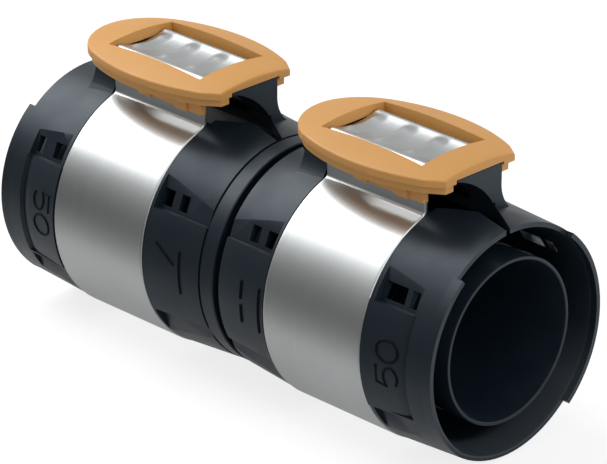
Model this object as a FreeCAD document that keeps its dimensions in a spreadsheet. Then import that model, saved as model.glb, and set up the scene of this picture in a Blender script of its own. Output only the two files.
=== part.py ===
# Straight press coupling for 50 mm multilayer pipe, pressed from the side.
# Millimetres. X runs along the pipe, Z up to the press lugs, origin in the middle on the axis.
# Angles about X are counted from +Z towards +Y.

import FreeCAD
import Part
import Sketcher
import math
import os

Vector = FreeCAD.Vector
UPRIGHT = Vector(0, 0, 1)
ALONG = Vector(1, 0, 0)
ACROSS = Vector(0, 1, 0)

doc = FreeCAD.newDocument("press_coupling")

# Driving sizes: name, value or formula, meaning
SIZES = [
    ("spigot_radius", 20.2, "outside of the spigots, inside the pipe"),
    ("spigot_wall", 3.2, "wall of a spigot"),
    ("waterway_radius", "spigot_radius - spigot_wall", "bore of the fitting body"),
    ("tip_wall", 1.6, "wall of a spigot at its tip, where the bore widens"),
    ("tip_bore_radius", "spigot_radius - tip_wall", "bore at a spigot tip, widened for the flow"),
    ("pipe_space", 6.0, "room for the pipe's wall between spigot and carrier"),
    ("bore_radius", "spigot_radius + pipe_space", "bore of a carrier"),
    ("channel_wall", 1.9, "carrier's wall under its band"),
    ("band_gap", 0.3, "gap between band and carrier before pressing"),
    ("band_sheet", 1.2, "thickness of the band's steel"),
    ("band_radius", "bore_radius + channel_wall + band_gap + band_sheet", "outside of a press band"),
    ("shoulder_drop", 0.2, "how far a carrier stays under the band's outside"),
    ("shoulder_radius", "band_radius - shoulder_drop", "outside of a carrier beside its band"),
    ("mouth_draft", 1.0, "how far a carrier narrows towards its mouth"),
    ("mouth_radius", "shoulder_radius - mouth_draft", "outside of a carrier at its mouth"),
    ("inner_draft", 1.25, "how far a carrier narrows towards the flange"),
    ("inner_radius", "shoulder_radius - inner_draft", "outside of a carrier at its inner end"),
    ("mouth_chamfer", 0.5, "chamfer inside a carrier's mouth"),
    ("collar_step", 1.0, "height of a carrier's collar over its bore"),
    ("collar_radius", "bore_radius - collar_step", "bore of a carrier where it sits on the hub"),
    ("hub_gap", 0.3, "gap between a carrier's collar and the hub"),
    ("hub_radius", "collar_radius - hub_gap", "seat of a carrier beside the flange"),
    ("snap_height", 0.7, "height of the snap bead over the hub"),
    ("snap_width", 1.3, "width of the snap bead"),
    ("snap_gap", 0.3, "gap between a carrier's collar and the snap bead"),
    ("hub_reach", 9.8, "middle of the coupling to the snap bead"),
    ("flange_drop", 0.15, "how far the flange stays under the carriers"),
    ("flange_radius", "inner_radius - flange_drop", "middle flange between the two carriers"),
    ("flange_left", 2.1, "left face of the flange"),
    ("flange_right", 2.3, "right face of the flange"),
    ("left_gap", 0.5, "groove between the left carrier and the flange"),
    ("right_gap", 2.1, "groove between the right carrier and the flange"),
    ("band_centre", 36.05, "middle of the coupling to the middle of a band"),
    ("band_length", 31.1, "length of a press band along the pipe"),
    ("band_side_gap", 0.25, "gap at the band's edges in its channel"),
    ("channel_half", "band_length / 2 + band_side_gap", "half the length of a band's channel"),
    ("mouth_length", 18.65, "band's channel to a carrier's mouth"),
    ("mouth_x", "band_centre + channel_half + mouth_length", "middle of the coupling to a carrier's mouth"),
    ("tip_sunk", 1.25, "how far a spigot tip stays inside the mouth"),
    ("spigot_reach", "mouth_x - tip_sunk", "middle of the coupling to a spigot tip"),
    ("tip_taper", 9.25, "length of the widening at a spigot tip"),
    ("tip_taper_start", "spigot_reach - tip_taper", "where the widening starts"),
    ("tip_chamfer", 0.5, "lead-in on the outside of a spigot tip"),
    ("seal_section", 2.0, "diameter of a seal ring's section"),
    ("seal_spread", 7.0, "band's middle to the middle of each seal ring"),
    ("seal_inner_x", "band_centre - seal_spread", "middle of the inner seal ring"),
    ("seal_outer_x", "band_centre + seal_spread", "middle of the outer seal ring"),
    ("seal_proud", 0.1, "how far a seal ring stands over the spigot"),
    ("seal_bed", 0.2, "gap under a relaxed seal ring"),
    ("seal_side_gap", 0.3, "gap beside a seal ring in its groove"),
    ("rib_pitch", 4.6, "spacing of the holding ribs behind the outer seal"),
    ("rib_depth", 0.35, "depth of the cuts between the holding ribs"),
    ("rib_count", 3, "holding ribs on each spigot"),
    ("rib_land", 5.65, "plain land between the outer seal groove and the first rib"),
    ("groove_half", "seal_section / 2 + seal_side_gap", "half the length of a seal groove"),
    ("rib_start", "seal_outer_x + groove_half + rib_land", "first cut behind a holding rib"),
    ("pad_reach", 1.8, "how far the mouth pads stand out of the mouth"),
    ("pad_x", "mouth_x + pad_reach", "middle of the coupling to the ends of the mouth pads"),
    ("pad_bed", 5.2, "how far back from the mouth the pads start"),
    ("pad_root", "mouth_x - pad_bed", "inner end of the mouth pads"),
    ("pad_rise", 0.05, "how far a pad's end stands over the mouth"),
    ("pad_radius", "mouth_radius + pad_rise", "outside of the mouth pads at their ends"),
    ("pad_wall", 1.15, "thickness of a mouth pad"),
    ("pad_bore", "pad_radius - pad_wall", "inside of the mouth pads"),
    ("pad_top", 40.0, "angle of a pad's upper end"),
    ("pad_bottom", 139.0, "angle of a pad's lower end"),
    ("panel_rise", 0.35, "how far a side panel stands over the barrel"),
    ("panel_bevel", 0.6, "half the length of the slope at a side panel's end"),
    ("panel_top", 63.5, "angle of a side panel's upper edge"),
    ("panel_bottom", 116.5, "angle of a side panel's lower edge"),
    ("recess_top", 46.0, "angle where the upper recess starts"),
    ("recess_bottom", 133.0, "angle where the lower recess ends"),
    ("recess_depth", 1.9, "depth of a recess beside its panel"),
    ("recess_radius", "shoulder_radius - recess_depth", "floor of a recess beside its panel"),
    ("recess_wall", 1.2, "angle that a recess's steep wall takes"),
    ("recess_land", 1.05, "band's channel to an outer recess"),
    ("recess_length", 11.7, "length of an outer recess"),
    ("recess_near", "band_centre + channel_half + recess_land", "inner end of the outer recesses"),
    ("recess_far", "recess_near + recess_length", "outer end of the outer recesses"),
    ("inset_land", 0.65, "band's channel to an inner recess"),
    ("inset_far", "band_centre - channel_half - inset_land", "outer end of the inner recesses"),
    ("window_top", 52.4, "angle of a window's upper edge"),
    ("window_bottom", 60.4, "angle of a window's lower edge"),
    ("window_land", 0.6, "start of an outer recess to its first window"),
    ("window_long", 6.5, "length of the long outer window"),
    ("window_pillar", 1.5, "pillar between the outer windows"),
    ("window_short", 2.3, "length of the short outer window"),
    ("window_near", "recess_near + window_land", "start of the long outer window"),
    ("window_break", "window_near + window_long", "end of the long outer window"),
    ("window_resume", "window_break + window_pillar", "start of the short outer window"),
    ("window_far", "window_resume + window_short", "end of the short outer window"),
    ("inset_window_land", 0.4, "end of an inner recess to its last window"),
    ("inset_window_long", 3.5, "length of the long inner window"),
    ("inset_window_pillar", 2.4, "pillar between the inner windows"),
    ("inset_window_short", 2.7, "length of the short inner window"),
    ("inset_window_far", "inset_far - inset_window_land", "end of the long inner window"),
    ("inset_window_resume", "inset_window_far - inset_window_long", "start of the long inner window"),
    ("inset_window_break", "inset_window_resume - inset_window_pillar", "end of the short inner window"),
    ("inset_window_near", "inset_window_break - inset_window_short", "start of the short inner window"),
    ("slit_half", 5.3, "half the width of the slit under the neck"),
    ("slit_line", -0.15, "plain side of the slit beside a lug"),
    ("slit_mouth_near", -2.7, "plain side of the slit at a carrier's end"),
    ("slit_mouth_far", -2.2, "lug side of the slit at a carrier's end"),
    ("neck_half", 8.9, "half the width over the band's neck"),
    ("neck_height", 11.4, "band's outside to the long edges of its crown"),
    ("crown_edge_z", "band_radius + neck_height", "height of the crown at its long edges"),
    ("crown_sag", 2.2, "how far the crown is hollow in its middle"),
    ("neck_bend", 1.1, "bend radius where the neck leaves the ring"),
    ("crown_bend", 1.5, "outer bend radius at the crown's long edges"),
    ("bead_height", 0.8, "height of the beads across the crown"),
    ("bead_half", 2.9, "half the width of a bead"),
    ("bead_pitch", 9.75, "spacing of the beads"),
    ("bead_shift", -2.7, "middle bead from the band's middle"),
    ("bead_side", 2.0, "end of a bead to the side of the neck"),
    ("bead_reach", "neck_half - bead_side", "how far a bead runs to each side"),
    ("lug_stand", 8.2, "band's channel to a lug's outer face"),
    ("lug_face", "channel_half + lug_stand", "middle of a band to a lug's outer face"),
    ("lug_back_gap", 0.3, "band's channel to the back of a lug"),
    ("lug_depth", "lug_stand - lug_back_gap", "thickness of a lug along the pipe"),
    ("lug_height", 9.1, "band's outside to the top of a lug"),
    ("lug_top", "band_radius + lug_height", "height of a lug"),
    ("lug_half", 7.3, "half the width of a lug's head"),
    ("lug_foot_inner", "slit_half", "inner side of a lug's foot"),
    ("lug_foot_drop", 1.2, "band's outside down to a lug's foot"),
    ("lug_foot_top", "band_radius - lug_foot_drop", "height where a lug's hollow side meets its foot"),
    ("lug_foot_width", 7.0, "width of a lug's foot"),
    ("lug_foot_outer", "lug_foot_inner + lug_foot_width", "outer side of a lug's foot"),
    ("lug_flare_rise", 4.6, "band's outside up to where a lug flares"),
    ("lug_flare_z", "band_radius + lug_flare_rise", "height where a lug's outer side starts to flare"),
    ("lug_lip", 0.4, "thickness of a lug's tip"),
    ("lug_hook_radius", 20.0, "curve of a lug's hollow side"),
    ("lug_flare_radius", 9.0, "curve of a lug's flare"),
    ("plate_seat_gap", 0.3, "gap between an indicator and what it sits on"),
    ("plate_rise", 1.5, "crown's long edges up to an indicator's domed top"),
    ("plate_top", "crown_edge_z + plate_rise", "height of an indicator's domed top over the band's middle"),
    ("plate_depth", 6.5, "domed top down to the underside of the indicator's body"),
    ("plate_under", "plate_top - plate_depth", "underside of an indicator's body"),
    ("rim_depth", 4.4, "domed top down to the underside of the overhanging rim"),
    ("rim_under", "plate_top - rim_depth", "underside of the overhanging rim"),
    ("rim_over", 1.0, "how far the rim overhangs the body"),
    ("nose_over", 3.2, "how far the round nose reaches past a lug"),
    ("plate_nose", "lug_face + nose_over", "middle of a band to the indicator's round nose"),
    ("blunt_over", 0.2, "how far the blunt end reaches past a lug"),
    ("plate_blunt", "lug_face + blunt_over", "middle of a band to the indicator's blunt end"),
    ("nose_radius", 15.8, "curve of the indicator's nose"),
    ("nose_length", 10.2, "round nose to where its curve meets the side"),
    ("nose_join", "plate_nose - nose_length", "band's middle to where the nose meets the side"),
    ("view_side", 1.5, "side of the neck to the side of the window"),
    ("view_half", "neck_half + view_side", "half the width of the indicator's window"),
    ("view_near", "band_length / 2 + plate_seat_gap", "band's middle to the window's end at the nose"),
    ("view_slack", 0.45, "end of the band to the window's blunt end"),
    ("view_far", "band_length / 2 + view_slack", "band's middle to the window's blunt end"),
    ("nose_rim", 4.4, "window's side to the plate's side where the nose starts"),
    ("nose_join_half", "view_half + nose_rim", "half the width there"),
    ("corner_back", 4.0, "blunt end back to the corner of the long side"),
    ("blunt_corner", "plate_blunt - corner_back", "where the indicator's long side ends"),
    ("corner_rim", 3.7, "window's side to the plate's side at that corner"),
    ("blunt_corner_half", "view_half + corner_rim", "half the width there"),
    ("blunt_rim", 0.9, "window's side to the side of the blunt end"),
    ("blunt_half", "view_half + blunt_rim", "half the width of the blunt end"),
    ("side_radius", 49.2, "curve of the indicator's long side"),
    ("blunt_round", 3.2, "rounding of the plate's blunt corners"),
    ("plate_edge_round", 0.5, "rounding along the plate's top edge"),
    ("dome_long", 175.0, "curve of the domed top along the pipe"),
    ("dome_across", 65.0, "curve of the domed top across the pipe"),
    ("slot_side_gap", 0.5, "gap beside a lug in its slot"),
    ("slot_half", "lug_half + slot_side_gap", "half the width of the slots that take the lugs"),
    ("skirt_drop", 3.2, "body's underside to the lower edge of the skirts"),
    ("skirt_foot", "plate_under - skirt_drop", "lower edge of the indicator's skirts"),
    ("skirt_wall", 1.7, "thickness of a skirt"),
    ("skirt_nose", 18.4, "band's middle to the skirt's upper end at the nose"),
    ("skirt_slant", 4.8, "how far that end leans back to the skirt's lower edge"),
    ("skirt_bend_near", 7.6, "where a skirt starts to widen"),
    ("skirt_bend_far", 3.0, "where a skirt is at its full width"),
    ("skirt_rib_height", 0.7, "how far the ribs stand out of a skirt"),
    ("skirt_rib_length", 4.1, "length of a skirt's rib"),
    ("skirt_rib_near", 2.9, "band's middle back to the start of the first rib"),
    ("skirt_rib_pitch", 12.5, "spacing of a skirt's two ribs"),
    ("skirt_neck_gap", 0.3, "gap between skirt and neck near the nose"),
    ("skirt_back", 6.2, "blunt end back to the skirt's end"),
    ("skirt_end", "plate_blunt - skirt_back", "band's middle to the skirt's end"),
    ("bite", 0.6, "overlap that joins added stock to a piece"),
]

sheet = doc.addObject("Spreadsheet::Sheet", "dim")
for row, (alias, size, meaning) in enumerate(SIZES, start=1):
    sheet.set("A%d" % row, alias)
    sheet.set("B%d" % row, "=" + size if isinstance(size, str) else str(size))
    sheet.set("C%d" % row, meaning)
    sheet.setAlias("B%d" % row, alias)
doc.recompute()

ALIASES = [alias for alias, size, meaning in SIZES]


def bound(text):
    """Writes a formula of plain size names as an expression on the sheet."""
    words = []
    word = ""
    for letter in text + " ":
        if letter.isalnum() or letter == "_":
            word += letter
            continue
        if word in ALIASES:
            word = "dim." + word
        words.append(word + letter)
        word = ""
    return "".join(words).strip()


def amount(text):
    """The number that a formula of size names gives now."""
    return float(sheet.evalExpression(bound(text)))


def flip(text):
    """The same formula with its sign turned."""
    return "-(%s)" % text


def polar(radius, angle):
    """Sketch place on the YZ plane at a radius and an angle from +Z towards +Y."""
    return ("(%s) * sin(%s)" % (radius, angle), "(%s) * cos(%s)" % (radius, angle))


class Corner:
    """A corner of an outline, and the arc that leads to the next corner if it has a radius."""

    def __init__(self, across, up, radius=None, side=1):
        self.across = across
        self.up = up
        self.radius = radius
        self.side = side

    def point(self):
        return Vector(amount(self.across), amount(self.up), 0)

    def mirrored(self):
        return Corner(flip(self.across), self.up, self.radius, -self.side)


def outline(*places):
    """Corners from plain pairs of formulas."""
    return [place if isinstance(place, Corner) else Corner(place[0], place[1]) for place in places]


def arc_between(start, end, radius, side):
    """The short arc of a radius between two points; side 1 bends to the left of the way there."""
    chord = end - start
    middle = (start + end) * 0.5
    half = chord.Length / 2
    rise = math.sqrt(max(radius * radius - half * half, 0.0))
    normal = Vector(-chord.y, chord.x, 0)
    normal.normalize()
    centre = middle - normal * (rise * side)
    first, last = (end, start) if side > 0 else (start, end)
    begin = math.atan2(first.y - centre.y, first.x - centre.x)
    finish = math.atan2(last.y - centre.y, last.x - centre.x)
    circle = Part.Circle(centre, UPRIGHT, radius)
    return Part.ArcOfCircle(circle, begin, finish if finish > begin else finish + 2 * math.pi)


class Piece:
    """One sub-part made as a body of sketches and features, with its own place."""

    def __init__(self, label, shift="0", turned=False):
        self.body = doc.addObject("PartDesign::Body", label)
        self.body.Label = label
        if turned:
            self.body.Placement = FreeCAD.Placement(Vector(), FreeCAD.Rotation(UPRIGHT, 180))
        self.body.setExpression("Placement.Base.x", bound(shift))
        self.planes = {plane.Role: plane for plane in self.body.Origin.OriginFeatures}

    def sketch(self, name, plane, loops, lift="0", lift_axis="z", turn=None):
        """A sketch of closed loops on an origin plane, moved by lift and turned about the pipe."""
        drawing = self.body.newObject("Sketcher::SketchObject", name)
        drawing.AttachmentSupport = [(self.planes[plane], "")]
        drawing.MapMode = "FlatFace"
        if turn is not None:
            drawing.AttachmentOffset = FreeCAD.Placement(Vector(), FreeCAD.Rotation(ALONG, 45))
            drawing.setExpression("AttachmentOffset.Rotation.Angle", bound("90 - (%s)" % turn))
        drawing.setExpression("AttachmentOffset.Base." + lift_axis, bound(lift))
        for corners in loops:
            self.draw_loop(drawing, corners)
        return drawing

    def draw_loop(self, drawing, corners):
        """Draws one closed loop and ties each corner to the sheet."""
        points = [corner.point() for corner in corners]
        edges = []
        for index, corner in enumerate(corners):
            start = points[index]
            end = points[(index + 1) % len(points)]
            if corner.radius is None:
                edges.append((drawing.addGeometry(Part.LineSegment(start, end)), 1, 2))
                continue
            arc = arc_between(start, end, amount(corner.radius), corner.side)
            edge = drawing.addGeometry(arc)
            edges.append((edge, 2, 1) if corner.side > 0 else (edge, 1, 2))
            rule = drawing.addConstraint(Sketcher.Constraint("Radius", edge, amount(corner.radius)))
            drawing.setExpression("Constraints[%d]" % rule, bound(corner.radius))
        for index, corner in enumerate(corners):
            edge, first, last = edges[index]
            before, before_first, before_last = edges[index - 1]
            drawing.addConstraint(Sketcher.Constraint("Coincident", before, before_last, edge, first))
            for kind, formula in (("DistanceX", corner.across), ("DistanceY", corner.up)):
                place = Sketcher.Constraint(kind, -1, 1, edge, first, amount(formula))
                rule = drawing.addConstraint(place)
                drawing.setExpression("Constraints[%d]" % rule, bound(formula))

    def feature(self, kind, name, drawing, **settings):
        """Adds a feature made from a sketch."""
        made = self.body.newObject("PartDesign::" + kind, name)
        made.Profile = drawing
        for setting, content in settings.items():
            if isinstance(content, str) and setting in ("Length", "Angle"):
                made.setExpression(setting, bound(content))
            else:
                setattr(made, setting, content)
        drawing.Visibility = False
        doc.recompute()
        return made

    def turned_stock(self, name, loops, angle="360", turn=None, lift="0", cut=False):
        """Stock, or a cut, turned about the pipe's axis, whole or as a sector about an angle."""
        drawing = self.sketch(name + "_section", "XY_Plane", loops, lift=lift, turn=turn)
        kind = "Groove" if cut else "Revolution"
        axis = (drawing, ["H_Axis"])
        return self.feature(kind, name, drawing, ReferenceAxis=axis, Angle=angle, Midplane=turn is not None)

    def rounded(self, name, radius, wanted):
        """Rounds the edges of the piece so far that the test picks out."""
        base = self.body.Tip
        names = []
        for index, edge in enumerate(base.Shape.Edges, start=1):
            if wanted(edge):
                names.append("Edge%d" % index)
        rounding = self.body.newObject("PartDesign::Fillet", name)
        rounding.Base = (base, names)
        rounding.setExpression("Radius", bound(radius))
        doc.recompute()
        return rounding


def runs_along(edge, direction):
    """True for a straight edge that runs along a direction."""
    if len(edge.Vertexes) != 2:
        return False
    span = edge.Vertexes[1].Point - edge.Vertexes[0].Point
    return abs(abs(span.normalize().dot(direction)) - 1) < 1e-6


def lies_at(edge, across, height, reach=0.05):
    """True for an edge whose middle has these Y and Z, Y taken on either side."""
    middle = edge.CenterOfMass
    return abs(abs(middle.y) - across) < reach and abs(middle.z - height) < reach


def stands_at(edge, along, across, reach=0.05):
    """True for an edge whose middle has these X and Y, Y taken on either side."""
    middle = edge.CenterOfMass
    return abs(middle.x - along) < reach and abs(abs(middle.y) - across) < reach


def is_plate_rim(edge):
    """True for an edge of an indicator's domed top that isn't at its window."""
    box = edge.BoundBox
    in_window = (
        box.XMin > -amount("view_near") - 0.1
        and box.XMax < amount("view_far") + 0.1
        and box.YMin > -amount("view_half") - 0.1
        and box.YMax < amount("view_half") + 0.1
    )
    return box.ZMin > amount("rim_under") + 0.3 and box.ZLength < 3 and not in_window


# Fitting body: flange, two hubs with snap beads, two ribbed spigots with seal grooves

def spigot_profile(side):
    """Outside of one end from the flange to the tip; side is 1 for right and -1 for left."""
    face = "flange_right" if side > 0 else "flange_left"
    groove_floor = "spigot_radius + seal_proud - seal_section - seal_bed"
    places = [
        (face, "flange_radius"),
        (face, "hub_radius"),
        ("hub_reach", "hub_radius"),
        ("hub_reach", "hub_radius + snap_height"),
        ("hub_reach + snap_width / 2", "hub_radius + snap_height"),
        ("hub_reach + snap_width", "hub_radius"),
        ("hub_reach + snap_width", "spigot_radius"),
    ]
    for middle in ("seal_inner_x", "seal_outer_x"):
        near = middle + " - groove_half"
        far = middle + " + groove_half"
        places += [(near, "spigot_radius"), (near, groove_floor), (far, groove_floor), (far, "spigot_radius")]
    for rib in range(int(amount("rib_count"))):
        root = "rib_start + %d * rib_pitch" % rib
        places += [(root, "spigot_radius"), (root, "spigot_radius - rib_depth")]
        places += [("%s + rib_pitch * 0.8" % root, "spigot_radius")]
    places += [
        ("spigot_reach - tip_chamfer", "spigot_radius"),
        ("spigot_reach", "spigot_radius - tip_chamfer"),
        ("spigot_reach", "tip_bore_radius"),
        ("tip_taper_start", "waterway_radius"),
    ]
    if side > 0:
        return places
    return [(flip(along), radius) for along, radius in reversed(places)]


fitting_body = Piece("fitting_body")
fitting_body.turned_stock("fitting_stock", [outline(*spigot_profile(-1), *spigot_profile(1))])


# Seal rings in the spigot grooves

def seal_ring(label, place):
    """One rubber ring about the pipe's axis."""
    ring = doc.addObject("Part::Torus", label)
    ring.Label = label
    ring.setExpression("Radius2", bound("seal_section / 2"))
    ring.setExpression("Radius1", bound("spigot_radius + seal_proud - seal_section / 2"))
    ring.Placement = FreeCAD.Placement(Vector(), FreeCAD.Rotation(ACROSS, 90))
    ring.setExpression("Placement.Base.x", bound(place))
    return ring


seal_ring("left_outer_seal", "-seal_outer_x")
seal_ring("left_inner_seal", "-seal_inner_x")
seal_ring("right_inner_seal", "seal_inner_x")
seal_ring("right_outer_seal", "seal_outer_x")


# Pipe carriers: slit mouldings that hold the bands round the pipe

def barrel_section(inner_end):
    """Section of a carrier's barrel with the channel for the band."""
    near = "band_centre - channel_half"
    far = "band_centre + channel_half"
    floor = "bore_radius + channel_wall"
    collar_end = "hub_reach - snap_gap"
    return outline(
        (inner_end, "collar_radius"),
        (inner_end, "inner_radius"),
        (near, "shoulder_radius"),
        (near, floor),
        (far, floor),
        (far, "shoulder_radius"),
        ("mouth_x", "mouth_radius"),
        ("mouth_x", "bore_radius + mouth_chamfer"),
        ("mouth_x - mouth_chamfer", "bore_radius"),
        (collar_end, "bore_radius"),
        (collar_end, "collar_radius"),
    )


def barrel_radius(along, outer=True):
    """Formula for the barrel's outside at a place along the pipe, beyond or before the band."""
    if outer:
        start = "(band_centre + channel_half)"
        slope = "(shoulder_radius - mouth_radius) / (mouth_x - %s)" % start
        return "shoulder_radius - (%s - %s) * %s" % (along, start, slope)
    start = "(band_centre - channel_half)"
    slope = "(shoulder_radius - inner_radius) / (%s - flange_right - right_gap)" % start
    return "shoulder_radius - (%s - %s) * %s" % (start, along, slope)


def recess_loops():
    """Ramped recesses above and below both side panels, seen along the pipe."""
    clear = "shoulder_radius + 3"
    upper = outline(
        polar("shoulder_radius", "recess_top"),
        polar("recess_radius", "panel_top - recess_wall"),
        polar("shoulder_radius + panel_rise", "panel_top"),
        polar(clear, "panel_top"),
        polar(clear, "recess_top"),
    )
    lower = outline(
        polar("shoulder_radius", "recess_bottom"),
        polar("recess_radius", "panel_bottom + recess_wall"),
        polar("shoulder_radius + panel_rise", "panel_bottom"),
        polar(clear, "panel_bottom"),
        polar(clear, "recess_bottom"),
    )
    loops = []
    for loop in (upper, lower):
        loops.append(loop)
        loops.append([corner.mirrored() for corner in loop])
    return loops


def slit_loop():
    """Plan of the slit along the top, the same at both ends when turned half round."""
    ends = []
    for way in ("", "-"):
        ends += [
            (way, "band_length / 2", "slit_half"),
            (way, "lug_face", "lug_foot_inner"),
            (way, "pad_x - band_centre", "slit_mouth_far"),
            (way, "pad_x - band_centre", "slit_mouth_near"),
            (way, "lug_face", "slit_line"),
            (way, "band_length / 2", "-slit_half"),
        ]
    return outline(*[("band_centre + %s(%s)" % (way, along), "%s(%s)" % (way, across))
                     if way else ("band_centre + (%s)" % along, across)
                     for way, along, across in ends])


def lug_loop(way):
    """Front view of a lug: a hook that stands on one side of the slit; way is 1 or -1."""
    corners = [
        Corner("lug_half", "lug_top"),
        Corner("-lug_half", "lug_top"),
        Corner("-lug_half", "lug_top - lug_lip", "lug_hook_radius", way),
        Corner("lug_foot_inner", "lug_foot_top"),
        Corner("lug_foot_inner", "bore_radius + bite"),
        Corner("lug_foot_outer", "bore_radius - bite", "lug_flare_radius", way),
        Corner("lug_half", "lug_flare_z"),
    ]
    if way < 0:
        for corner in corners:
            corner.across = flip(corner.across)
    return corners


def pipe_carrier(label, inner_end, turned):
    """A slit carrier; the left one is the right one turned half round about Z."""
    carrier = Piece(label, turned=turned)
    carrier.turned_stock("barrel", [barrel_section(inner_end)])

    pad_sector = "pad_bottom - pad_top"
    pad = outline(
        ("pad_root", barrel_radius("pad_root") + " - bite"),
        ("pad_root", "pad_radius"),
        ("pad_x", "pad_radius"),
        ("pad_x", "pad_bore"),
        ("mouth_x - bite", "pad_bore"),
        ("mouth_x - bite", "mouth_radius - bite"),
    )
    panel_near = "band_centre + channel_half"
    panel = outline(
        (panel_near, "shoulder_radius - bite"),
        (panel_near, "shoulder_radius + panel_rise"),
        ("pad_root - panel_bevel", barrel_radius("(pad_root - panel_bevel)") + " + panel_rise"),
        ("pad_root + panel_bevel", barrel_radius("(pad_root + panel_bevel)") + " - bite"),
    )
    for flank, middle in (("right", "(pad_top + pad_bottom) / 2"), ("left", "-(pad_top + pad_bottom) / 2")):
        carrier.turned_stock(flank + "_pad", [pad], angle=pad_sector, turn=middle)
        carrier.turned_stock(flank + "_panel", [panel], angle="panel_bottom - panel_top", turn=middle)

    outer_recess = carrier.sketch("outer_recess_view", "YZ_Plane", recess_loops(), lift="recess_near")
    carrier.feature("Pocket", "outer_recesses", outer_recess, Length="recess_length", Reversed=True)
    inner_recess = carrier.sketch("inner_recess_view", "YZ_Plane", recess_loops(), lift=inner_end)
    inset_length = "inset_far - (%s)" % inner_end
    carrier.feature("Pocket", "inner_recesses", inner_recess, Length=inset_length, Reversed=True)

    openings = []
    for near, far in (
        ("window_near", "window_break"),
        ("window_resume", "window_far"),
        ("inset_window_near", "inset_window_break"),
        ("inset_window_resume", "inset_window_far"),
    ):
        low = "bore_radius - 2"
        high = "shoulder_radius + 2"
        openings.append(outline((near, low), (near, high), (far, high), (far, low)))
    for flank, middle in (("right", "(window_top + window_bottom) / 2"),
                          ("left", "-(window_top + window_bottom) / 2")):
        sector = "window_bottom - window_top"
        carrier.turned_stock(flank + "_windows", openings, angle=sector, turn=middle, cut=True)

    for way, name in ((1, "outer_lug"), (-1, "inner_lug")):
        place = "band_centre + lug_face" if way > 0 else "band_centre - lug_face"
        view = carrier.sketch(name + "_view", "YZ_Plane", [lug_loop(way)], lift=place)
        carrier.feature("Pad", name, view, Length="lug_depth", Reversed=way > 0)

    slit = carrier.sketch("slit_plan", "XY_Plane", [slit_loop()])
    carrier.feature("Pocket", "slit", slit, Length="shoulder_radius + 0.2", Reversed=True)
    return carrier


left_carrier = pipe_carrier("left_pipe_carrier", "flange_left + left_gap", True)
right_carrier = pipe_carrier("right_pipe_carrier", "flange_right + right_gap", False)


# Press bands: closed loops of sheet steel with an upright neck and a hollow crown

CROWN_RADIUS = "((neck_half ^ 2 + crown_sag ^ 2) / (2 * crown_sag))"
CROWN_CENTRE = "(crown_edge_z - crown_sag + %s)" % CROWN_RADIUS


def band_loop(inset):
    """End view of the band's loop, moved inwards by inset."""
    half = "(neck_half - %s)" % inset
    ring = "(band_radius - %s)" % inset
    crown = "(%s + %s)" % (CROWN_RADIUS, inset)
    foot = "sqrt(%s ^ 2 - %s ^ 2)" % (ring, half)
    edge = "%s - sqrt(%s ^ 2 - %s ^ 2)" % (CROWN_CENTRE, crown, half)
    return [
        Corner(flip(half), foot),
        Corner(flip(half), edge, crown, -1),
        Corner(half, edge),
        Corner(half, foot, ring, 1),
        Corner("0", flip(ring), ring, 1),
    ]


def press_band(label, centre):
    """One band, padded along the pipe, bent edges rounded, beads pressed up across the crown."""
    band = Piece(label, shift=centre)
    loops = [band_loop("0"), band_loop("band_sheet")]
    view = band.sketch("loop_view", "YZ_Plane", loops, lift="-band_length / 2")
    band.feature("Pad", "loop", view, Length="band_length")

    half = amount("neck_half")
    ring = amount("band_radius")
    sheet_size = amount("band_sheet")
    inner = half - sheet_size
    foot = math.sqrt(ring ** 2 - half ** 2)
    inner_foot = math.sqrt((ring - sheet_size) ** 2 - inner ** 2)
    crown = amount("crown_edge_z")
    inner_crown = amount("%s - sqrt((%s + band_sheet) ^ 2 - (neck_half - band_sheet) ^ 2)"
                         % (CROWN_CENTRE, CROWN_RADIUS))
    bends = [
        ("neck_bends", "neck_bend", half, foot),
        ("inner_neck_bends", "neck_bend + band_sheet", inner, inner_foot),
        ("crown_bends", "crown_bend", half, crown),
        ("inner_crown_bends", "crown_bend - band_sheet", inner, inner_crown),
    ]
    for name, radius, across, height in bends:
        band.rounded(name, radius, lambda edge: runs_along(edge, ALONG) and lies_at(edge, across, height))

    tops = []
    hollows = []
    for step in (-1, 0, 1):
        middle = "bead_shift + %d * bead_pitch" % step
        for loops, level in ((tops, CROWN_RADIUS), (hollows, "(%s + band_sheet)" % CROWN_RADIUS)):
            root = "-%s - bead_height / 3" % level
            span = "(bead_half ^ 2 + (bead_height * 4 / 3) ^ 2) / (2 * bead_height * 4 / 3)"
            loops.append([
                Corner("%s - bead_half" % middle, root, span, 1),
                Corner("%s + bead_half" % middle, root),
            ])
    sweep = "2 * asin(bead_reach / %s)" % CROWN_RADIUS
    for name, loops, kind in (("beads", tops, "Revolution"), ("bead_hollows", hollows, "Groove")):
        section = band.sketch(name + "_section", "XZ_Plane", loops, lift=CROWN_CENTRE, lift_axis="y")
        band.feature(kind, name, section, ReferenceAxis=(section, ["H_Axis"]), Angle=sweep, Midplane=True)
    return band


left_band = press_band("left_press_band", "-band_centre")
right_band = press_band("right_press_band", "band_centre")


# Press indicators: orange covers on the crowns that drop off when the band is pressed

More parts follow.
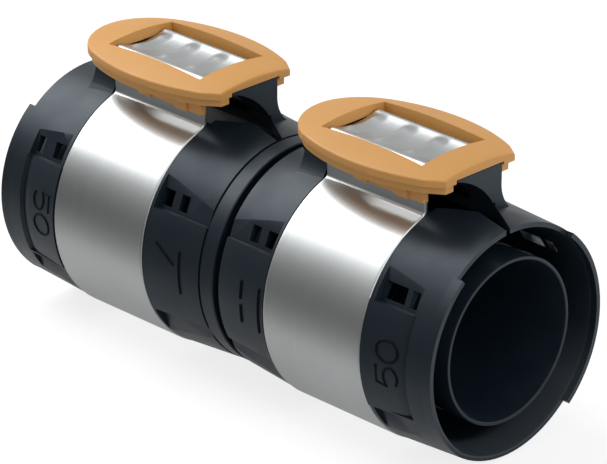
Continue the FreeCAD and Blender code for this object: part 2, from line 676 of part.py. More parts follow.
def plate_loop(inset="0"):
    """Plan of an indicator, moved inwards by inset: round nose, bowed sides, blunt end."""
    nose = "(plate_nose - %s)" % inset
    blunt = "(plate_blunt - %s)" % inset
    corner = "(blunt_corner - %s)" % inset
    nose_curve = "(nose_radius - %s)" % inset
    side_curve = "(side_radius - %s)" % inset
    join_half = "(nose_join_half - %s)" % inset
    corner_half = "(blunt_corner_half - %s)" % inset
    end_half = "(blunt_half - %s)" % inset
    upper = [
        Corner(flip(nose), "0", nose_curve, 1),
        Corner("-nose_join", join_half, side_curve, 1),
        Corner(corner, corner_half),
        Corner(blunt, end_half),
    ]
    lower = [
        Corner(blunt, flip(end_half)),
        Corner(corner, flip(corner_half), side_curve, 1),
        Corner("-nose_join", flip(join_half), nose_curve, 1),
    ]
    return upper + lower


def rib_corners(start):
    """Corners of one rib on a skirt's outer side, from its far end back to its start."""
    end = start + " + skirt_rib_length"
    side = "view_half + skirt_wall"
    top = side + " + skirt_rib_height"
    return [(end, side), (end, top), (start, top), (start, side)]


def press_indicator(label, centre):
    """One indicator: domed rim on a body with a window, slots for the lugs and two skirts."""
    cover = Piece(label, shift=centre)
    window = outline(
        ("-view_near", "-view_half"),
        ("view_far", "-view_half"),
        ("view_far", "view_half"),
        ("-view_near", "view_half"),
    )
    plan = cover.sketch("rim_plan", "XY_Plane", [plate_loop(), window], lift="rim_under")
    cover.feature("Pad", "rim", plan, Length="plate_top - rim_under")
    side = amount("blunt_corner_half")
    end = amount("blunt_corner")
    cover.rounded("blunt_corners", "blunt_round",
                  lambda edge: runs_along(edge, UPRIGHT) and stands_at(edge, end, side))

    reach = "(plate_nose + 3)"
    level = "(dome_across - (dome_long - sqrt(dome_long ^ 2 - %s ^ 2)))" % reach
    above = [
        Corner(flip(reach), level, "dome_long", 1),
        Corner(reach, level),
        Corner(reach, "dome_across + 3"),
        Corner(flip(reach), "dome_across + 3"),
    ]
    dome = cover.sketch("dome_section", "XZ_Plane", [above], lift="plate_top - dome_across", lift_axis="y")
    sweep = "2 * asin((nose_join_half + 6) / dome_across)"
    cover.feature("Groove", "dome", dome, ReferenceAxis=(dome, ["H_Axis"]), Angle=sweep, Midplane=True)
    cover.rounded("plate_edge", "plate_edge_round", is_plate_rim)

    body_plan = cover.sketch("body_plan", "XY_Plane", [plate_loop("rim_over"), window], lift="plate_under")
    cover.feature("Pad", "body", body_plan, Length="rim_under - plate_under")

    slots = []
    for near, far in (("-plate_nose - 1", "-view_near + 1"), ("view_far - 1", "plate_blunt + 1")):
        slots.append(outline(
            (near, "-slot_half"),
            (far, "-slot_half"),
            (far, "slot_half"),
            (near, "slot_half"),
        ))
    slot_plan = cover.sketch("slot_plan", "XY_Plane", slots, lift="plate_under - 1")
    depth = "lug_top + plate_seat_gap - plate_under + 1"
    cover.feature("Pocket", "lug_slots", slot_plan, Length=depth, Reversed=True)

    inner = "(neck_half + skirt_neck_gap)"
    skirt = outline(
        ("-skirt_nose", inner),
        ("-skirt_bend_near", inner),
        ("-skirt_bend_far", "view_half"),
        ("skirt_end", "view_half"),
        ("skirt_end", "view_half + skirt_wall"),
        *rib_corners("skirt_rib_pitch - skirt_rib_near"),
        *rib_corners("-skirt_rib_near"),
        ("-skirt_bend_far", "view_half + skirt_wall"),
        ("-skirt_bend_near", inner + " + skirt_wall * 0.8"),
        ("-skirt_nose", inner + " + skirt_wall * 0.6"),
    )
    both = [skirt, [Corner(place.across, flip(place.up)) for place in skirt]]
    drawing = cover.sketch("skirt_plan", "XY_Plane", both, lift="skirt_foot")
    cover.feature("Pad", "skirts", drawing, Length="skirt_drop + bite")
    slant = outline(
        ("-skirt_nose", "plate_under"),
        ("-skirt_nose - 1", "plate_under"),
        ("-skirt_nose - 1", "skirt_foot - 1"),
        ("-skirt_nose + skirt_slant * (skirt_drop + 1) / skirt_drop", "skirt_foot - 1"),
    )
    lean = cover.sketch("skirt_slant_view", "XZ_Plane", [slant])
    cover.feature("Pocket", "skirt_slants", lean, Length="4 * nose_join_half", Midplane=True)
    return cover


left_indicator = press_indicator("left_press_indicator", "-band_centre")
right_indicator = press_indicator("right_press_indicator", "band_centre")


# Check every object, then write one file for each sub-part

doc.recompute()
for made in doc.Objects:
    if "Invalid" in made.State or "Error" in made.State:
        raise RuntimeError("%s did not compute: %s" % (made.Label, made.State))

sub_parts = [made for made in doc.Objects if made.TypeId in ("PartDesign::Body", "Part::Torus")]
os.makedirs("parts", exist_ok=True)
for made in sub_parts:
    if made.Shape.isNull() or not made.Shape.isValid():
        raise RuntimeError("%s has no sound shape" % made.Label)
    made.Shape.exportStep("parts/%s.step" % made.Label)
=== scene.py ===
import logging
import math
from contextlib import contextmanager
from dataclasses import dataclass, field
from enum import Enum
from typing import Callable, Iterable, Iterator, Sequence

import bmesh
import bpy
from mathutils import Matrix, Vector


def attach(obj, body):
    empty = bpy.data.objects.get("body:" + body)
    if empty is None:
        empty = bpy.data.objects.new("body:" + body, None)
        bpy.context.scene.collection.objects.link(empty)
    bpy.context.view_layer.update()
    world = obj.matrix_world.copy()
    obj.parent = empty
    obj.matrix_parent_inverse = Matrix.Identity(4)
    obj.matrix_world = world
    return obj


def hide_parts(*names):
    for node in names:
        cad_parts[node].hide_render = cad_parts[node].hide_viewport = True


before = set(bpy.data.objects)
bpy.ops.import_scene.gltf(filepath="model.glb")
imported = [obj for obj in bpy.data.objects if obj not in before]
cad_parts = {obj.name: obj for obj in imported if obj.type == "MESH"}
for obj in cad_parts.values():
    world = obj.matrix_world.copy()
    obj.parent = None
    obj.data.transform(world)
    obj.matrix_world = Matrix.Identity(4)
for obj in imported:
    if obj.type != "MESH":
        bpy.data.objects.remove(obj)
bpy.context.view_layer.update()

MM = 0.001
FRAME_WIDTH_PX = 607
FLOOR_HEIGHT = -29.62 * MM

# Mesh work: distances in metres, angles in degrees
CAD_MERGE = 2e-6
SEAM_MERGE = 1e-6
CUT_MERGE = 1e-7
FLAT_WITHIN = 0.4
BEVEL_FROM = 32.0
BEVEL_STEPS = 2

# The colour sockets of a mix node, which share their names with its other kinds
MIX_FIRST, MIX_SECOND, MIX_RESULT = 6, 7, 2

logging.basicConfig(level=logging.INFO, format="%(message)s")
log = logging.getLogger("press_coupling")

Pair = tuple[float, float]
Triple = tuple[float, float, float]
Colour = Triple
Socket = bpy.types.NodeSocket
Material = bpy.types.Material
Piece = bpy.types.Object
Inputs = dict[str | int, object]


class End(Enum):
    """The two ends of the coupling, by the sign of their side along the pipe."""

    LEFT = -1
    RIGHT = 1

    @property
    def word(self) -> str:
        """Name of the end as the frame spells it."""
        return self.name.lower()


def polar(along: float, radius: float, angle: float) -> Vector:
    """Place on a circle about the pipe.

    Args:
        along: place along the pipe in mm.
        radius: distance from the pipe's axis in mm.
        angle: degrees from straight up towards the back.

    Returns:
        The place in metres.
    """
    turn = math.radians(angle)
    return Vector((along, radius * math.sin(turn), radius * math.cos(turn))) * MM


# Shader helpers and finishes


def fill_inputs(tree: bpy.types.NodeTree, node: bpy.types.Node, inputs: Inputs) -> None:
    """Gives a node's inputs, by name or number, a socket or a constant each; colours have three parts."""
    for place, value in inputs.items():
        target = node.inputs[place]
        if isinstance(value, Socket):
            tree.links.new(value, target)
        else:
            target.default_value = (*value, 1.0) if target.type == "RGBA" else value


def add_node(tree: bpy.types.NodeTree, kind: str, inputs: Inputs | None = None,
             **settings: object) -> bpy.types.Node:
    """Adds a node to a tree.

    Args:
        tree: the tree.
        kind: the node's type.
        inputs: sockets or constants for its inputs.
        settings: the node's own settings.

    Returns:
        The new node.
    """
    node = tree.nodes.new(kind)
    for name, value in settings.items():
        setattr(node, name, value)
    fill_inputs(tree, node, inputs or {})
    return node


def spaced(values: dict[str, object]) -> Inputs:
    """Keywords as the names of inputs, with spaces for underscores."""
    return {name.replace("_", " "): value for name, value in values.items()}


@dataclass(frozen=True)
class Noise:
    """A noise over an object's own coordinates, by its waves to a metre and its octaves."""

    waves: float
    octaves: float
    stretch: Triple = (1.0, 1.0, 1.0)
    rough: float = 0.5


FLOW_MARKS = Noise(42, 3, (1.0, 0.55, 0.55))
SPECKS = Noise(1900, 2)
HAZE = Noise(120, 4, rough=0.6)
ERODED_GRAIN = Noise(3400, 3, rough=0.6)
SWELLS = Noise(160, 2)
ROLLING_LINES = Noise(1.0, 2, (2600, 24, 24))
CLOUDS = Noise(28, 2)
GREASE_FILM = Noise(260, 3)
RUBBER_GRAIN = Noise(2600, 3)
FLOOR_TONES = Noise(3, 2)


@dataclass(frozen=True)
class PaintedLightZone:
    """The lower inside of both mouths, where a paler colour is painted in as light falling there, in mm."""

    radius: float = 27.5
    radius_fade: float = 0.3
    along: float = 61.0
    along_fade: float = 2.0
    top: float = -4.0
    top_fade: float = 12.0


class Recipe:
    """A material while its nodes are being laid out."""

    def __init__(self, name: str) -> None:
        """Starts an empty material of that name with its output and main shader."""
        self.material = bpy.data.materials.new(name)
        self.material.use_nodes = True
        self.tree = self.material.node_tree
        self.tree.nodes.clear()
        self.shader = add_node(self.tree, "ShaderNodeBsdfPrincipled")
        add_node(self.tree, "ShaderNodeOutputMaterial", {"Surface": self.shader.outputs[0]})
        self.place = add_node(self.tree, "ShaderNodeTexCoord").outputs["Object"]

    def shade(self, **inputs: object) -> Material:
        """Feeds the main shader's inputs, spaces given as underscores, and returns the material."""
        fill_inputs(self.tree, self.shader, spaced(inputs))
        return self.material

    def stretched(self, factors: Triple) -> Socket:
        """The object's own coordinates with a factor on each axis."""
        return add_node(self.tree, "ShaderNodeMapping", {"Vector": self.place, "Scale": factors}).outputs[0]

    def axis(self, letter: str) -> Socket:
        """One of the object's own coordinates."""
        return add_node(self.tree, "ShaderNodeSeparateXYZ", {0: self.place}).outputs[letter]

    def maths(self, operation: str, *values: Socket | float) -> Socket:
        """The result of a maths node."""
        return add_node(self.tree, "ShaderNodeMath", dict(enumerate(values)), operation=operation).outputs[0]

    def noise(self, pattern: Noise) -> Socket:
        """The value of a noise."""
        return add_node(self.tree, "ShaderNodeTexNoise", {
            "Vector": self.stretched(pattern.stretch), "Scale": pattern.waves, "Detail": pattern.octaves,
            "Roughness": pattern.rough}).outputs[0]

    def between(self, source: Socket, low: float, high: float,
                start: float = 0.35, end: float = 0.65) -> Socket:
        """Spreads a socket's values over a range.

        Args:
            source: the value to spread.
            low: result at start.
            high: result at end.
            start: source value that gives low.
            end: source value that gives high.

        Returns:
            The spread value's socket.
        """
        return add_node(self.tree, "ShaderNodeMapRange", {
            "Value": source, "From Min": start, "From Max": end, "To Min": low,
            "To Max": high}).outputs["Result"]

    def blend(self, amount: Socket, first: Colour | Socket, second: Colour) -> Socket:
        """A colour that goes from first to second as the amount goes from 0 to 1."""
        colours = {0: amount, MIX_FIRST: first, MIX_SECOND: second}
        return add_node(self.tree, "ShaderNodeMix", colours, data_type="RGBA").outputs[MIX_RESULT]

    def total(self, first: Socket, second: Socket, share: float) -> Socket:
        """The first value plus a share of the second one."""
        return self.maths("MULTIPLY_ADD", second, share, first)

    def by_height(self, stops: Sequence[Pair]) -> Socket:
        """A value that changes with the height over the object's origin.

        Args:
            stops: pairs of height in mm and value, lowest first.

        Returns:
            The value's socket.
        """
        low, high = stops[0][0], stops[-1][0]
        share = self.between(self.axis("Z"), 0.0, 1.0, low * MM, high * MM)
        ramp = add_node(self.tree, "ShaderNodeFloatCurve", {"Value": share})
        curve = ramp.mapping.curves[0]
        ramp.mapping.extend = "HORIZONTAL"
        curve.points[0].location = (0.0, stops[0][1])
        curve.points[1].location = (1.0, stops[-1][1])
        for height, value in stops[1:-1]:
            curve.points.new((height - low) / (high - low), value)
        for point in curve.points:
            point.handle_type = "VECTOR"
        ramp.mapping.use_clip = False
        ramp.mapping.update()
        return ramp.outputs[0]

    def mask(self, zone: PaintedLightZone) -> Socket:
        """A value that is 1 inside the painted light zone of both mouths and fades to 0 round it."""
        reach = add_node(self.tree, "ShaderNodeVectorMath", {0: self.stretched((0, 1, 1))},
                         operation="LENGTH").outputs["Value"]
        inside = self.between(reach, 1, 0, zone.radius * MM, (zone.radius + zone.radius_fade) * MM)
        beyond = self.between(self.maths("ABSOLUTE", self.axis("X")), 0, 1,
                              zone.along * MM, (zone.along + zone.along_fade) * MM)
        under = self.between(self.axis("Z"), 1, 0, (zone.top - zone.top_fade) * MM, zone.top * MM)
        return self.maths("MULTIPLY", inside, self.maths("MULTIPLY", beyond, under))

    def relief(self, height: Socket, depth_mm: float) -> Socket:
        """The surface's direction roughened by a height of about 0 to 1 with the relief's size in mm."""
        return add_node(self.tree, "ShaderNodeBump", {
            "Height": height, "Distance": depth_mm * MM, "Strength": 1.0}).outputs[0]


@dataclass(frozen=True)
class MouldedPlastic:
    """Satin moulded plastic with a fine eroded grain, faint flow marks and uneven gloss."""

    name: str
    deep: Colour
    pale: Colour
    roughness: Pair
    specular: float
    sheen_tint: Colour = (1.0, 1.0, 1.0)
    painted_light: Colour | None = None
    ior: float = 1.5
    speck_share: float = 0.22
    tone_span: Pair = (0.4, 0.85)
    swell_share: float = 1.6
    grain_mm: float = 0.006

    def make(self) -> Material:
        """Builds the material."""
        recipe = Recipe(self.name)
        tone = recipe.total(recipe.noise(FLOW_MARKS), recipe.noise(SPECKS), self.speck_share)
        colour = recipe.blend(recipe.between(tone, 0, 1, *self.tone_span), self.deep, self.pale)
        # Painted light: a paler colour on the lower inside of both mouths stands in for light falling there.
        if self.painted_light is not None:
            colour = recipe.blend(recipe.mask(PaintedLightZone()), colour, self.painted_light)
        grain = recipe.total(recipe.noise(ERODED_GRAIN), recipe.noise(SWELLS), self.swell_share)
        return recipe.shade(
            Base_Color=colour, Roughness=recipe.between(recipe.noise(HAZE), *self.roughness),
            Normal=recipe.relief(grain, self.grain_mm), IOR=self.ior,
            Specular_IOR_Level=self.specular, Specular_Tint=self.sheen_tint)


@dataclass(frozen=True)
class RolledSteel:
    """Bright stainless strip with the rolling lines running round the band."""

    name: str
    dull: Colour
    bright: Colour
    roughness: Pair = (0.31, 0.35)
    ior: float = 2.6
    line_share: float = 0.4
    tone_span: Pair = (0.4, 1.0)
    line_mm: float = 0.0001

    def make(self) -> Material:
        """Builds the material."""
        recipe = Recipe(self.name)
        lines = recipe.noise(ROLLING_LINES)
        tone = recipe.total(recipe.noise(CLOUDS), lines, self.line_share)
        shine = recipe.between(tone, 0, 1, *self.tone_span)
        return recipe.shade(
            Base_Color=recipe.blend(shine, self.dull, self.bright), Metallic=1.0, IOR=self.ior,
            Roughness=recipe.between(tone, *self.roughness, *self.tone_span),
            Normal=recipe.relief(lines, self.line_mm))


@dataclass(frozen=True)
class SealRubber:
    """Matt black sealing rubber with a greasy film."""

    name: str
    deep: Colour
    pale: Colour
    roughness: Pair = (0.32, 0.62)
    ior: float = 1.52
    grain_mm: float = 0.01

    def make(self) -> Material:
        """Builds the material."""
        recipe = Recipe(self.name)
        film = recipe.noise(GREASE_FILM)
        return recipe.shade(
            Base_Color=recipe.blend(recipe.between(film, 0, 1), self.deep, self.pale), IOR=self.ior,
            Roughness=recipe.between(film, *self.roughness),
            Normal=recipe.relief(recipe.noise(RUBBER_GRAIN), self.grain_mm))


# The carrier's paler mouth colour is painted light on the lower inside of both mouths.
CARRIER_PLASTIC = MouldedPlastic(
    "carrier_plastic", (0.0095, 0.0160, 0.0230), (0.0165, 0.0245, 0.0330), (0.30, 0.40), 0.33,
    sheen_tint=(0.76, 0.88, 1.0), painted_light=(0.050, 0.062, 0.074))
# Painted shade: the raised marks get a darker copy of the carrier plastic, standing in for the shade of
# incised lines.
MARK_SHADE_PLASTIC = MouldedPlastic(
    "mark_painted_shade", (0.0016, 0.0024, 0.0036), (0.0034, 0.0048, 0.0068), (0.46, 0.58), 0.12,
    sheen_tint=(0.60, 0.80, 1.0))
BODY_PLASTIC = MouldedPlastic(
    "body_plastic", (0.0050, 0.0110, 0.0185), (0.0110, 0.0185, 0.0270), (0.30, 0.42), 0.36,
    sheen_tint=(0.78, 0.89, 1.0))
INDICATOR_PLASTIC = MouldedPlastic(
    "indicator_plastic", (0.690, 0.340, 0.092), (0.740, 0.374, 0.108), (0.42, 0.54), 0.4)
BAND_STEEL = RolledSteel("band_steel", (0.490, 0.508, 0.510), (0.570, 0.588, 0.590))
SEAL_RUBBER = SealRubber("seal_rubber", (0.008, 0.008, 0.009), (0.017, 0.017, 0.018))


@dataclass
class Palette:
    """The finished materials: one for each slot of the record and a darker one for the raised marks, whose
    darkness is painted shade.
    """

    carrier: Material = field(default_factory=CARRIER_PLASTIC.make)
    marks: Material = field(default_factory=MARK_SHADE_PLASTIC.make)
    body: Material = field(default_factory=BODY_PLASTIC.make)
    indicator: Material = field(default_factory=INDICATOR_PLASTIC.make)
    steel: Material = field(default_factory=BAND_STEEL.make)
    rubber: Material = field(default_factory=SEAL_RUBBER.make)


# Mesh and geometry tree helpers


@contextmanager
def editing(mesh: bpy.types.Mesh) -> Iterator[bmesh.types.BMesh]:
    """Opens a mesh for changes and writes them back at the end."""
    work = bmesh.new()
    work.from_mesh(mesh)
    yield work
    work.to_mesh(mesh)
    work.free()


def smooth_mesh(mesh: bpy.types.Mesh, crease: float) -> None:
    """Shades a mesh smooth, with edges over the crease angle in degrees kept sharp."""
    for face in mesh.polygons:
        face.use_smooth = True
    mesh.set_sharp_from_angle(angle=math.radians(crease))


def face_outwards(mesh: bpy.types.Mesh) -> None:
    """Merges doubles and points every face of a closed mesh outwards."""
    with editing(mesh) as work:
        bmesh.ops.remove_doubles(work, verts=work.verts, dist=SEAM_MERGE)
        bmesh.ops.recalc_face_normals(work, faces=work.faces)
        if work.calc_volume(signed=True) < 0:
            bmesh.ops.reverse_faces(work, faces=work.faces)


def link_piece(name: str, mesh: bpy.types.Mesh, material: Material) -> Piece:
    """Makes an object of a mesh, with one material on all its faces.

    Args:
        name: name of the piece.
        mesh: its mesh, already in place.
        material: the finish.

    Returns:
        The new object.
    """
    mesh.materials.clear()
    mesh.materials.append(material)
    for face in mesh.polygons:
        face.material_index = 0
    piece = bpy.data.objects.new(name, mesh)
    bpy.context.scene.collection.objects.link(piece)
    return piece


def settle(piece: Piece) -> None:
    """Turns a piece with its modifiers into a plain mesh and takes the modifiers off."""
    bpy.context.view_layer.update()
    depsgraph = bpy.context.evaluated_depsgraph_get()
    mesh = bpy.data.meshes.new_from_object(piece.evaluated_get(depsgraph), depsgraph=depsgraph)
    piece.modifiers.clear()
    piece.data = mesh


def softened_copy(node: str, name: str, material: Material, radius_mm: float,
                  crease: float = BEVEL_FROM,
                  reshape: Callable[[bmesh.types.BMesh], None] | None = None) -> Piece:
    """A copy of a solid of the frame with its hard edges rounded as a mould leaves them.

    Args:
        node: the frame's node.
        name: name of the new piece.
        material: the finish.
        radius_mm: size of the rounding.
        crease: angle in degrees from which an edge is drawn sharp.
        reshape: a last change to the rounded copy.

    Returns:
        The finished piece.
    """
    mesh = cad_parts[node].data.copy()
    with editing(mesh) as work:
        bmesh.ops.remove_doubles(work, verts=work.verts, dist=CAD_MERGE)
        bmesh.ops.dissolve_limit(work, angle_limit=math.radians(FLAT_WITHIN), use_dissolve_boundaries=False,
                                 verts=work.verts, edges=work.edges)
    piece = link_piece(name, mesh, material)
    smooth_mesh(mesh, crease)
    rounding = piece.modifiers.new("rounding", "BEVEL")
    rounding.width = radius_mm * MM
    rounding.segments = BEVEL_STEPS
    rounding.limit_method = "ANGLE"
    rounding.angle_limit = math.radians(BEVEL_FROM)
    rounding.use_clamp_overlap = True
    rounding.harden_normals = True
    settle(piece)
    if reshape is not None:
        with editing(piece.data) as work:
            reshape(work)
    return piece


def shade_round(mesh: bpy.types.Mesh, reach: float = 4.0, least_level: float = 0.9) -> None:
    """Gives faces that lie round the pipe the true direction out from its axis as their shading.

    Args:
        mesh: the mesh to shade.
        reach: how far in degrees a face may lean and still lie round the pipe.
        least_level: least share of a face's direction that has to lie across the pipe.
    """
    shading = [corner.vector.copy() for corner in mesh.corner_normals]
    least = math.cos(math.radians(reach))
    for face in mesh.polygons:
        level = Vector((0, face.normal.y, face.normal.z))
        middle = Vector((0, face.center.y, face.center.z))
        if level.length < least_level or abs(level.normalized().dot(middle.normalized())) < least:
            continue
        side = level.length if level.dot(middle) > 0 else -level.length
        for corner in face.loop_indices:
            place = mesh.vertices[mesh.loops[corner].vertex_index].co
            outward = Vector((0, place.y, place.z)).normalized() * side
            shading[corner] = Vector((face.normal.x, outward.y, outward.z))
    mesh.normals_split_custom_set(shading)


class GeometryPlan:
    """A geometry tree while it is being laid out."""

    def __init__(self, name: str, **sizes: str) -> None:
        """Starts a tree that takes a mesh and a finish.

        Args:
            name: name of the tree.
            sizes: its other inputs, spaces given as underscores, with the kind of each.
        """
        self.tree = bpy.data.node_groups.new(name, "GeometryNodeTree")
        for label, kind in {"Geometry": "Geometry", **spaced(sizes), "Finish": "Material"}.items():
            self.tree.interface.new_socket(label, in_out="INPUT", socket_type=f"NodeSocket{kind}")
        self.tree.interface.new_socket("Geometry", in_out="OUTPUT", socket_type="NodeSocketGeometry")
        self.inlet = add_node(self.tree, "NodeGroupInput")

    def add(self, kind: str, inputs: Inputs, **settings: object) -> Socket:
        """Adds a node and returns its first output; texts as inputs name the tree's own inputs."""
        joined = {place: self.inlet.outputs[value] if isinstance(value, str) else value
                  for place, value in inputs.items()}
        return add_node(self.tree, kind, joined, **settings).outputs[0]

    def circle(self, radius: str, steps: str) -> Socket:
        """A circle whose radius and steps are the tree's inputs of those names."""
        return self.add("GeometryNodeCurvePrimitiveCircle", {"Radius": radius, "Resolution": steps})

    def strokes(self) -> Socket:
        """The edges of the mesh that goes in, as curves."""
        return self.add("GeometryNodeMeshToCurve", {0: "Geometry"})

    def sweep(self, path: Socket, section: Socket, caps: bool = False) -> Socket:
        """Sweeps a section along a path, with closed ends if caps is set."""
        return self.add("GeometryNodeCurveToMesh",
                        {"Curve": path, "Profile Curve": section, "Fill Caps": caps})

    def lie_down(self, geometry: Socket, **inputs: object) -> Socket:
        """Turns what was made round the Z axis to lie round the pipe's axis."""
        return self.add("GeometryNodeTransform",
                        {0: geometry, "Rotation": (0, math.pi / 2, 0), **inputs})

    def finish(self, geometry: Socket) -> "GeometryPlan":
        """Ends the tree in real geometry with smooth shading and its finish, and returns the plan."""
        real = self.add("GeometryNodeRealizeInstances", {0: geometry})
        shade = self.add("GeometryNodeSetShadeSmooth", {0: real})
        paint = self.add("GeometryNodeSetMaterial", {0: shade, "Material": "Finish"})
        add_node(self.tree, "NodeGroupOutput", {0: paint})
        return self

    def use(self, piece: Piece, crease: float, **values: object) -> None:
        """Runs the tree on a piece and keeps the result as its closed and smooth mesh.

        Args:
            piece: the object whose mesh goes in.
            crease: angle in degrees from which an edge stays sharp.
            values: the inputs by name, spaces given as underscores.
        """
        modifier = piece.modifiers.new(self.tree.name, "NODES")
        modifier.node_group = self.tree
        keys = {item.name: item.identifier for item in self.tree.interface.items_tree
                if item.item_type == "SOCKET" and item.in_out == "INPUT"}
        for name, value in spaced(values).items():
            modifier[keys[name]] = value
        settle(piece)
        face_outwards(piece.data)
        smooth_mesh(piece.data, crease)


def turning_plan() -> GeometryPlan:
    """Tree that turns a closed outline round the pipe's axis.

    Returns:
        The tree; its mesh input holds the outline, X out from Base Radius and Y along the pipe.
    """
    plan = GeometryPlan("turned_piece", Base_Radius="Float", Facets="Int")
    circle = plan.add("GeometryNodeSetCurveNormal", {0: plan.circle("Base Radius", "Facets")}, mode="Z_UP")
    return plan.finish(plan.lie_down(plan.sweep(circle, plan.strokes())))


def ring_plan() -> GeometryPlan:
    """Tree for a round ring about the pipe's axis.

    Returns:
        The tree, with inputs for the ring, its section and its place.
    """
    plan = GeometryPlan("seal_ring", Ring_Radius="Float", Ring_Steps="Int", Section_Radius="Float",
                        Section_Steps="Int", Along="Vector")
    path, section = plan.circle("Ring Radius", "Ring Steps"), plan.circle("Section Radius", "Section Steps")
    return plan.finish(plan.lie_down(plan.sweep(path, section), Translation="Along"))


def raised_line_plan() -> GeometryPlan:
    """Tree that lays a rounded raised line along every stroke of a drawing.

    Returns:
        The tree; its mesh input holds the strokes as edges.
    """
    plan = GeometryPlan("raised_line", Half_Width="Float", Round_Steps="Int")
    return plan.finish(plan.sweep(plan.strokes(), plan.circle("Half Width", "Round Steps"), caps=True))


def hand_over(piece: Piece, slot: str, *nodes: str) -> None:
    """Lets a piece ride on the coupling, hides the frame nodes it replaces and logs its finish's slot.

    Args:
        piece: the finished piece.
        slot: the record's material slot.
        nodes: frame nodes that it replaces.
    """
    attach(piece, "root")
    if nodes:
        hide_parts(*nodes)
    log.info("%s: %d faces, finish %s, stands for %s", piece.name, len(piece.data.polygons), slot,
             ", ".join(nodes) or "nothing")


# Fitting body and seals


@dataclass
class FittingBody:
    """The turned body: a middle flange, two hubs and two ribbed spigots, in mm."""

    flange_radius: float = 28.0
    flange_left: float = 2.1
    flange_right: float = 2.3
    flange_chamfer: float = 0.25
    hub_radius: float = 24.9
    hub_reach: float = 9.8
    snap_height: float = 0.7
    snap_width: float = 1.3
    spigot_radius: float = 20.2
    spigot_reach: float = 70.0
    waterway_radius: float = 17.0
    taper_start: float = 60.0
    tip_bore_radius: float = 19.3
    tip_bore_chamfer: float = 0.2
    tip_chamfer: float = 0.3
    tip_chamfer_bulge: float = 0.3
    groove_places: Pair = (29.05, 43.05)
    groove_half: float = 1.3
    groove_floor: float = 18.1
    rib_start: float = 50.0
    rib_pitch: float = 4.6
    rib_share: float = 0.8
    rib_depth: float = 0.35
    rib_count: int = 3
    facets: int = 192
    crease: float = 28.0

    def half_outline(self, end: End) -> list[Pair]:
        """Outside of one end from the flange to the tip, then the bore's start.

        Args:
            end: which end.

        Returns:
            Corners as (along, radius) in mm, from the flange outwards.
        """
        face = self.flange_right if end is End.RIGHT else self.flange_left
        outside = self.spigot_radius
        snap_top = self.hub_radius + self.snap_height
        snap_end = self.hub_reach + self.snap_width
        places = [(face - self.flange_chamfer, self.flange_radius),
                  (face, self.flange_radius - self.flange_chamfer), (face, self.hub_radius),
                  (self.hub_reach, self.hub_radius), (self.hub_reach, snap_top),
                  (self.hub_reach + self.snap_width / 2, snap_top),
                  (snap_end, self.hub_radius), (snap_end, outside)]
        for middle in self.groove_places:
            near, far = middle - self.groove_half, middle + self.groove_half
            places += [(near, outside), (near, self.groove_floor), (far, self.groove_floor), (far, outside)]
        for rib in range(self.rib_count):
            root = self.rib_start + rib * self.rib_pitch
            places += [(root, outside), (root, outside - self.rib_depth),
                       (root + self.rib_pitch * self.rib_share, outside)]
        reach, chamfer, bore = self.spigot_reach, self.tip_chamfer, self.tip_bore_radius
        bulge = chamfer * self.tip_chamfer_bulge
        places += [(reach - chamfer, outside), (reach - bulge, outside - bulge), (reach, outside - chamfer),
                   (reach, bore + self.tip_bore_chamfer), (reach - self.tip_bore_chamfer, bore),
                   (self.taper_start, self.waterway_radius)]
        return [(along * end.value, radius) for along, radius in places]

    def build(self, plan: GeometryPlan, material: Material) -> None:
        """Draws the outline, turns it and hands it over.

        Args:
            plan: the turning tree.
            material: the finish.
        """
        corners = self.half_outline(End.LEFT)[::-1] + self.half_outline(End.RIGHT)
        base = self.waterway_radius
        mesh = bpy.data.meshes.new("fitting_outline")
        mesh.from_pydata([((radius - base) * MM, along * MM, 0) for along, radius in corners],
                         [(index, (index + 1) % len(corners)) for index in range(len(corners))], [])
        piece = link_piece("fitting_body_turned", mesh, material)
        plan.use(piece, self.crease, Base_Radius=base * MM, Facets=self.facets, Finish=material)
        hand_over(piece, "body_plastic", "fitting_body")


@dataclass
class SealRings:
    """Four rubber rings in the grooves of the spigots, in mm."""

    ring_radius: float = 19.3
    section_radius: float = 1.0
    places: Pair = (29.05, 43.05)
    ring_steps: int = 160
    section_steps: int = 24
    crease: float = 60.0

    def build(self, plan: GeometryPlan, material: Material) -> None:
        """Makes one ring for each groove.

        Args:
            plan: the ring tree.
            material: the finish.
        """
        for end in End:
            for word, place in zip(("inner", "outer"), self.places):
                node = f"{end.word}_{word}_seal"
                piece = link_piece(f"{node}_ring", bpy.data.meshes.new("seal_start"), material)
                plan.use(piece, self.crease, Ring_Radius=self.ring_radius * MM, Ring_Steps=self.ring_steps,
                         Section_Radius=self.section_radius * MM, Section_Steps=self.section_steps,
                         Along=(place * end.value * MM, 0, 0), Finish=material)
                hand_over(piece, "seal_rubber", node)


# Carriers and the marks on them


